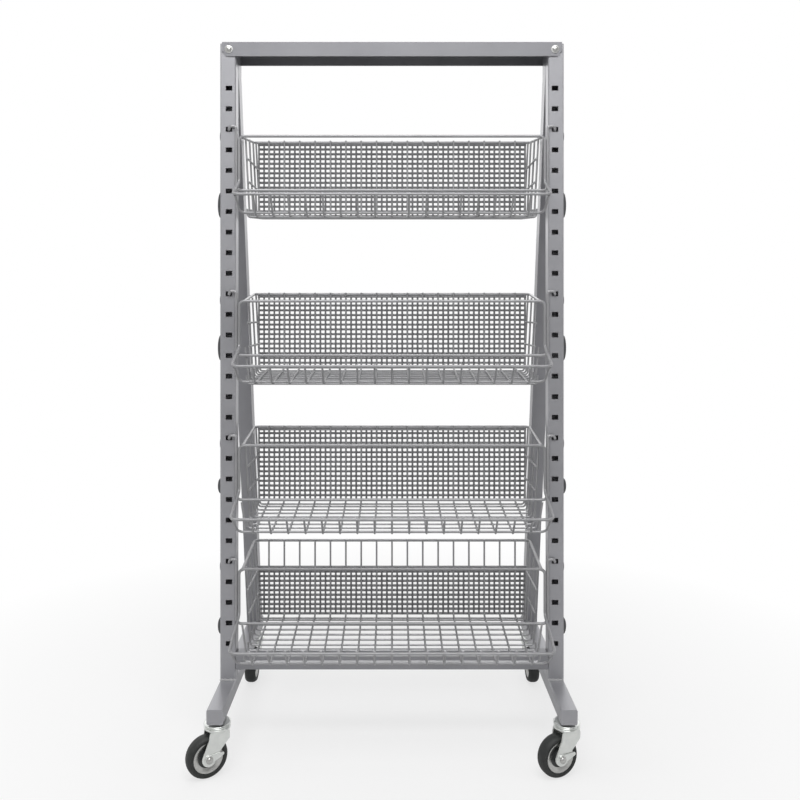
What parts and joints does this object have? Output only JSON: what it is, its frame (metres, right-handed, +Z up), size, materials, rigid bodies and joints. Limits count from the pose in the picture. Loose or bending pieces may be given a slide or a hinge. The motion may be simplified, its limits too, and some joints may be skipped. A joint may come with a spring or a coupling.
{
  "type": "display rack",
  "caption": "Wheeled A-frame display rack in grey powder-coated steel tube with slotted uprights, wire baskets hooked in front, and swivel casters.",
  "frame": {"origin": "middle of the rack's bounding box, on the floor under the wheels", "axes": "+Z up, -Y is the front where the baskets open, +X to the right when looking at the front from outside"},
  "size_m": [0.7072, 0.4766, 1.35],
  "materials": {
    "powder_coat": "satin silver-grey powder coat on steel tube",
    "coated_wire": "semi-gloss grey coating on welded steel wire",
    "zinc_plate": "bright zinc plate on pressed steel",
    "wheel_rubber": "matt black rubber tread on a moulded wheel"
  },
  "bodies": {
    "rack": {"upright_left": "powder_coat", "upright_right": "powder_coat", "rear_leg_left": "powder_coat", "rear_leg_right": "powder_coat", "foot_beam_left": "powder_coat", "foot_beam_right": "powder_coat", "top_cap": "powder_coat", "bottom_crossbar": "powder_coat", "basket_1_hanger_frame": "coated_wire", "basket_1_rim_loop": "coated_wire", "basket_1_floor": "coated_wire", "basket_1_side_left": "coated_wire", "basket_1_side_right": "coated_wire", "basket_1_lip": "coated_wire", "basket_1_back_grid": "coated_wire", "basket_1_fine_mesh": "coated_wire", "basket_2_hanger_frame": "coated_wire", "basket_2_rim_loop": "coated_wire", "basket_2_floor": "coated_wire", "basket_2_side_left": "coated_wire", "basket_2_side_right": "coated_wire", "basket_2_lip": "coated_wire", "basket_2_back_grid": "coated_wire", "basket_2_fine_mesh": "coated_wire", "basket_3_hanger_frame": "coated_wire", "basket_3_rim_loop": "coated_wire", "basket_3_floor": "coated_wire", "basket_3_side_left": "coated_wire", "basket_3_side_right": "coated_wire", "basket_3_lip": "coated_wire", "basket_3_back_grid": "coated_wire", "basket_3_fine_mesh": "coated_wire", "basket_4_hanger_frame": "coated_wire", "basket_4_rim_loop": "coated_wire", "basket_4_floor": "coated_wire", "basket_4_side_left": "coated_wire", "basket_4_side_right": "coated_wire", "basket_4_lip": "coated_wire", "basket_4_back_grid": "coated_wire", "basket_4_fine_mesh": "coated_wire", "caster_race_front_left": "zinc_plate", "caster_race_front_right": "zinc_plate", "caster_race_rear_left": "zinc_plate", "caster_race_rear_right": "zinc_plate"},
    "swivel_front_left": {"caster_fork_front_left": "zinc_plate", "caster_axle_front_left": "zinc_plate"},
    "wheel_front_left": {"caster_wheel_front_left": "wheel_rubber"},
    "lock_front_left": {"caster_lock_front_left": "zinc_plate"},
    "swivel_front_right": {"caster_fork_front_right": "zinc_plate", "caster_axle_front_right": "zinc_plate"},
    "wheel_front_right": {"caster_wheel_front_right": "wheel_rubber"},
    "lock_front_right": {"caster_lock_front_right": "zinc_plate"},
    "swivel_rear_left": {"caster_fork_rear_left": "zinc_plate", "caster_axle_rear_left": "zinc_plate"},
    "wheel_rear_left": {"caster_wheel_rear_left": "wheel_rubber"},
    "swivel_rear_right": {"caster_fork_rear_right": "zinc_plate", "caster_axle_rear_right": "zinc_plate"},
    "wheel_rear_right": {"caster_wheel_rear_right": "wheel_rubber"}
  },
  "joints": [
    {"name": "swivel_front_left", "type": "hinge", "parent": "rack", "child": "swivel_front_left", "pos_m": [-0.30087, -0.20168, 0.0894], "axis": [0, 0, 1], "continuous": true},
    {"name": "wheel_spin_front_left", "type": "hinge", "parent": "swivel_front_left", "child": "wheel_front_left", "pos_m": [-0.31819, -0.21168, 0.0375], "axis": [-0.5, 0.866, 0], "continuous": true},
    {"name": "lock_lever_front_left", "type": "hinge", "parent": "swivel_front_left", "child": "lock_front_left", "pos_m": [-0.31819, -0.21168, 0.0375], "axis": [-0.5, 0.866, 0], "range_deg": [0, 25]},
    {"name": "swivel_front_right", "type": "hinge", "parent": "rack", "child": "swivel_front_right", "pos_m": [0.32913, -0.20168, 0.0894], "axis": [0, 0, 1], "continuous": true},
    {"name": "wheel_spin_front_right", "type": "hinge", "parent": "swivel_front_right", "child": "wheel_front_right", "pos_m": [0.31059, -0.20917, 0.0375], "axis": [-0.3746, 0.9272, 0], "continuous": true},
    {"name": "lock_lever_front_right", "type": "hinge", "parent": "swivel_front_right", "child": "lock_front_right", "pos_m": [0.31059, -0.20917, 0.0375], "axis": [-0.3746, 0.9272, 0], "range_deg": [0, 25]},
    {"name": "swivel_rear_left", "type": "hinge", "parent": "rack", "child": "swivel_rear_left", "pos_m": [-0.30087, 0.19532, 0.0894], "axis": [0, 0, 1], "continuous": true},
    {"name": "wheel_spin_rear_left", "type": "hinge", "parent": "swivel_rear_left", "child": "wheel_rear_left", "pos_m": [-0.30087, 0.17532, 0.0375], "axis": [-1, 0, 0], "continuous": true},
    {"name": "swivel_rear_right", "type": "hinge", "parent": "rack", "child": "swivel_rear_right", "pos_m": [0.32913, 0.19532, 0.0894], "axis": [0, 0, 1], "continuous": true},
    {"name": "wheel_spin_rear_right", "type": "hinge", "parent": "swivel_rear_right", "child": "wheel_rear_right", "pos_m": [0.32913, 0.17532, 0.0375], "axis": [-1, 0, 0], "continuous": true}
  ]
}
